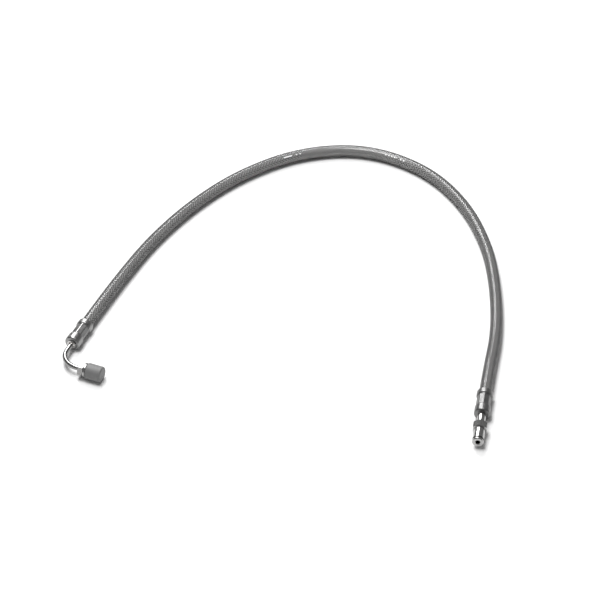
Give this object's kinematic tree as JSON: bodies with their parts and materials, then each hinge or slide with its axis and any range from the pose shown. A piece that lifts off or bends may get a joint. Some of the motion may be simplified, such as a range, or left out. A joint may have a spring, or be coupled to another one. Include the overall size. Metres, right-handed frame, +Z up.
{
  "type": "braided supply hose",
  "caption": "Flexible braided supply hose with crimped ferrules, a bent tube with a capped male tube nut at one end and a straight sealing spigot at the other.",
  "frame": {"origin": "on the surface the hose lies on, in the middle of the two end fittings", "axes": "+Z up, +X from the bent-tube end to the spigot end, +Y towards the top of the hose's arch"},
  "size_m": [0.4065, 0.4354, 0.015],
  "materials": {
    "liner": "extruded black rubber",
    "braid": "woven stainless wire",
    "jacket": "clear flexible jacket",
    "ferrule": "bright zinc plate",
    "fitting_steel": "bright plated steel",
    "braze": "silver brazing metal",
    "cap": "grey moulded plastic",
    "seal": "black rubber"
  },
  "bodies": {
    "hose_assembly": {"hose_liner": "liner", "hose_braid": "braid", "hose_jacket": "jacket", "left_ferrule": "ferrule", "right_ferrule": "ferrule", "left_insert": "fitting_steel", "bent_tube": "fitting_steel", "braze_fillet": "braze", "right_stem": "fitting_steel", "spigot_o_ring": "seal"},
    "nut": {"tube_nut": "fitting_steel"},
    "cap": {"thread_cap": "cap"}
  },
  "joints": [
    {"name": "nut_spin", "type": "hinge", "parent": "hose_assembly", "child": "nut", "pos_m": [-0.17081, 0.01541, 0.0075], "axis": [0.9207, -0.3903, 0], "continuous": true},
    {"name": "cap_pull", "type": "slide", "parent": "nut", "child": "cap", "axis": [0.9207, -0.3903, 0], "range_m": [0, 0.03]}
  ]
}
